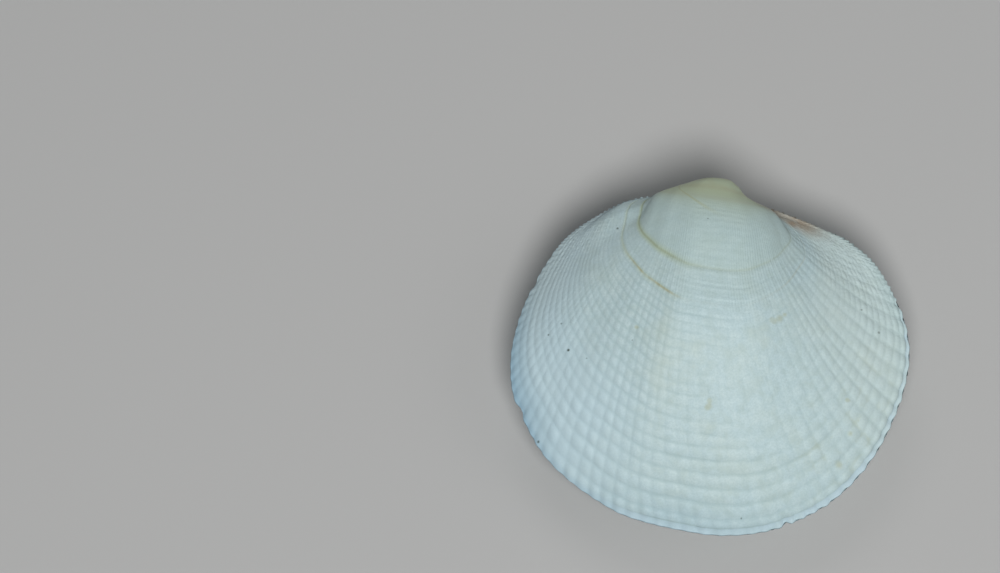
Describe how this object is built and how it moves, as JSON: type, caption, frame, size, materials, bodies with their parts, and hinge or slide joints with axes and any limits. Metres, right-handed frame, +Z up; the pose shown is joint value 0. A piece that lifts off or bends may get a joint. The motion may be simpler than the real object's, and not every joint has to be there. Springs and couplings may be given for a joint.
{
  "type": "clam shell",
  "caption": "Closed, rounded clam shell with netted valves and interlocking margins, held shut by a ligament behind the beaks; a natural display piece that lies flat.",
  "frame": {"origin": "bottom centre of the shell's box, on the surface that the left valve lies on", "axes": "+X to the front end of the shell, +Y to the beaks, +Z up through the right valve"},
  "size_m": [0.0566, 0.0508, 0.0242],
  "materials": {
    "shell_white": "satin",
    "ligament_brown": "matte"
  },
  "bodies": {
    "root": {"right_valve": "shell_white", "left_valve": "shell_white", "ligament": "ligament_brown"}
  },
  "joints": []
}
